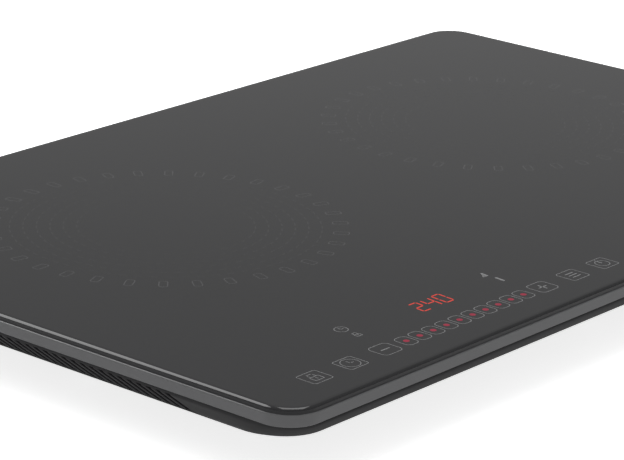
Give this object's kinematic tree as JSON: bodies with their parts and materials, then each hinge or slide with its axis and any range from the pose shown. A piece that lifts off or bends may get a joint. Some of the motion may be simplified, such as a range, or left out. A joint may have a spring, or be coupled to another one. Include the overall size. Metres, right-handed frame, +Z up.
{
  "type": "induction cooktop",
  "caption": "Slim free-standing induction cooktop with two cooking zones, a black glass top, touch controls and a vented grey housing on four rubber feet.",
  "frame": {"origin": "middle of the footprint on the surface that the four feet stand on", "axes": "+X to the right as the cook stands at the controls, +Y to the back, +Z up; the controls are along the -Y edge"},
  "size_m": [0.6, 0.386, 0.047],
  "materials": {
    "glass_black": "gloss",
    "seal_rubber": "matte",
    "frame_grey": "satin",
    "housing_grey": "matte",
    "foot_rubber": "matte",
    "former_plastic": "matte",
    "copper_litz": "satin",
    "ferrite": "matte",
    "mica": "matte",
    "sensor_silicone": "matte",
    "circuit_board": "satin",
    "sink_aluminium": "satin",
    "black_epoxy": "matte",
    "capacitor_yellow": "satin",
    "choke_copper": "gloss",
    "transformer_tape": "satin",
    "fuse_glass": "gloss",
    "fan_black": "satin",
    "rotor_black": "satin",
    "axle_steel": "gloss",
    "bearing_brass": "satin",
    "bracket_plastic": "matte",
    "display_red": "gloss",
    "spring_steel": "satin",
    "led_epoxy": "gloss",
    "ribbon_grey": "matte",
    "terminal_plastic": "matte",
    "lead_brown": "satin",
    "gland_rubber": "matte",
    "screw_steel": "satin"
  },
  "bodies": {
    "cooktop": {"glass_top": "glass_black", "glass_seal": "seal_rubber", "upper_frame": "frame_grey", "lower_housing": "housing_grey", "foot_front_left": "foot_rubber", "foot_front_right": "foot_rubber", "foot_rear_left": "foot_rubber", "foot_rear_right": "foot_rubber", "coil_former_left": "former_plastic", "coil_former_right": "former_plastic", "coil_winding_left": "copper_litz", "coil_winding_right": "copper_litz", "ferrite_bars_left": "ferrite", "ferrite_bars_right": "ferrite", "coil_insulator_left": "mica", "coil_insulator_right": "mica", "temperature_sensor_left": "sensor_silicone", "temperature_sensor_right": "sensor_silicone", "coil_leads_left": "copper_litz", "coil_leads_right": "copper_litz", "power_board_left": "circuit_board", "power_board_right": "circuit_board", "heat_sink_left": "sink_aluminium", "heat_sink_right": "sink_aluminium", "power_transistors_left": "black_epoxy", "power_transistors_right": "black_epoxy", "rectifier_left": "black_epoxy", "rectifier_right": "black_epoxy", "film_capacitors_left": "capacitor_yellow", "film_capacitors_right": "capacitor_yellow", "filter_choke_left": "choke_copper", "filter_choke_right": "choke_copper", "supply_transformer": "transformer_tape", "fuse": "fuse_glass", "fan_frame_left": "fan_black", "fan_frame_right": "fan_black", "fan_bearing_left": "bearing_brass", "fan_bearing_right": "bearing_brass", "control_board": "circuit_board", "control_bracket": "bracket_plastic", "display_left": "display_red", "display_right": "display_red", "touch_springs": "spring_steel", "indicator_leds": "led_epoxy", "ribbon_cables": "ribbon_grey", "terminal_block": "terminal_plastic", "mains_leads": "lead_brown", "cable_gland": "gland_rubber", "housing_screws": "screw_steel", "coil_screws": "screw_steel", "board_screws": "screw_steel", "fan_screws": "screw_steel", "panel_screws": "screw_steel"},
    "fan_left": {"fan_rotor_left": "rotor_black", "fan_shaft_left": "axle_steel"},
    "fan_right": {"fan_rotor_right": "rotor_black", "fan_shaft_right": "axle_steel"}
  },
  "joints": [
    {"name": "fan_left_spin", "type": "hinge", "parent": "cooktop", "child": "fan_left", "pos_m": [-0.048, 0.095, 0.02], "axis": [0, 0, 1], "continuous": true},
    {"name": "fan_right_spin", "type": "hinge", "parent": "cooktop", "child": "fan_right", "pos_m": [0.048, 0.095, 0.02], "axis": [0, 0, 1], "continuous": true}
  ]
}
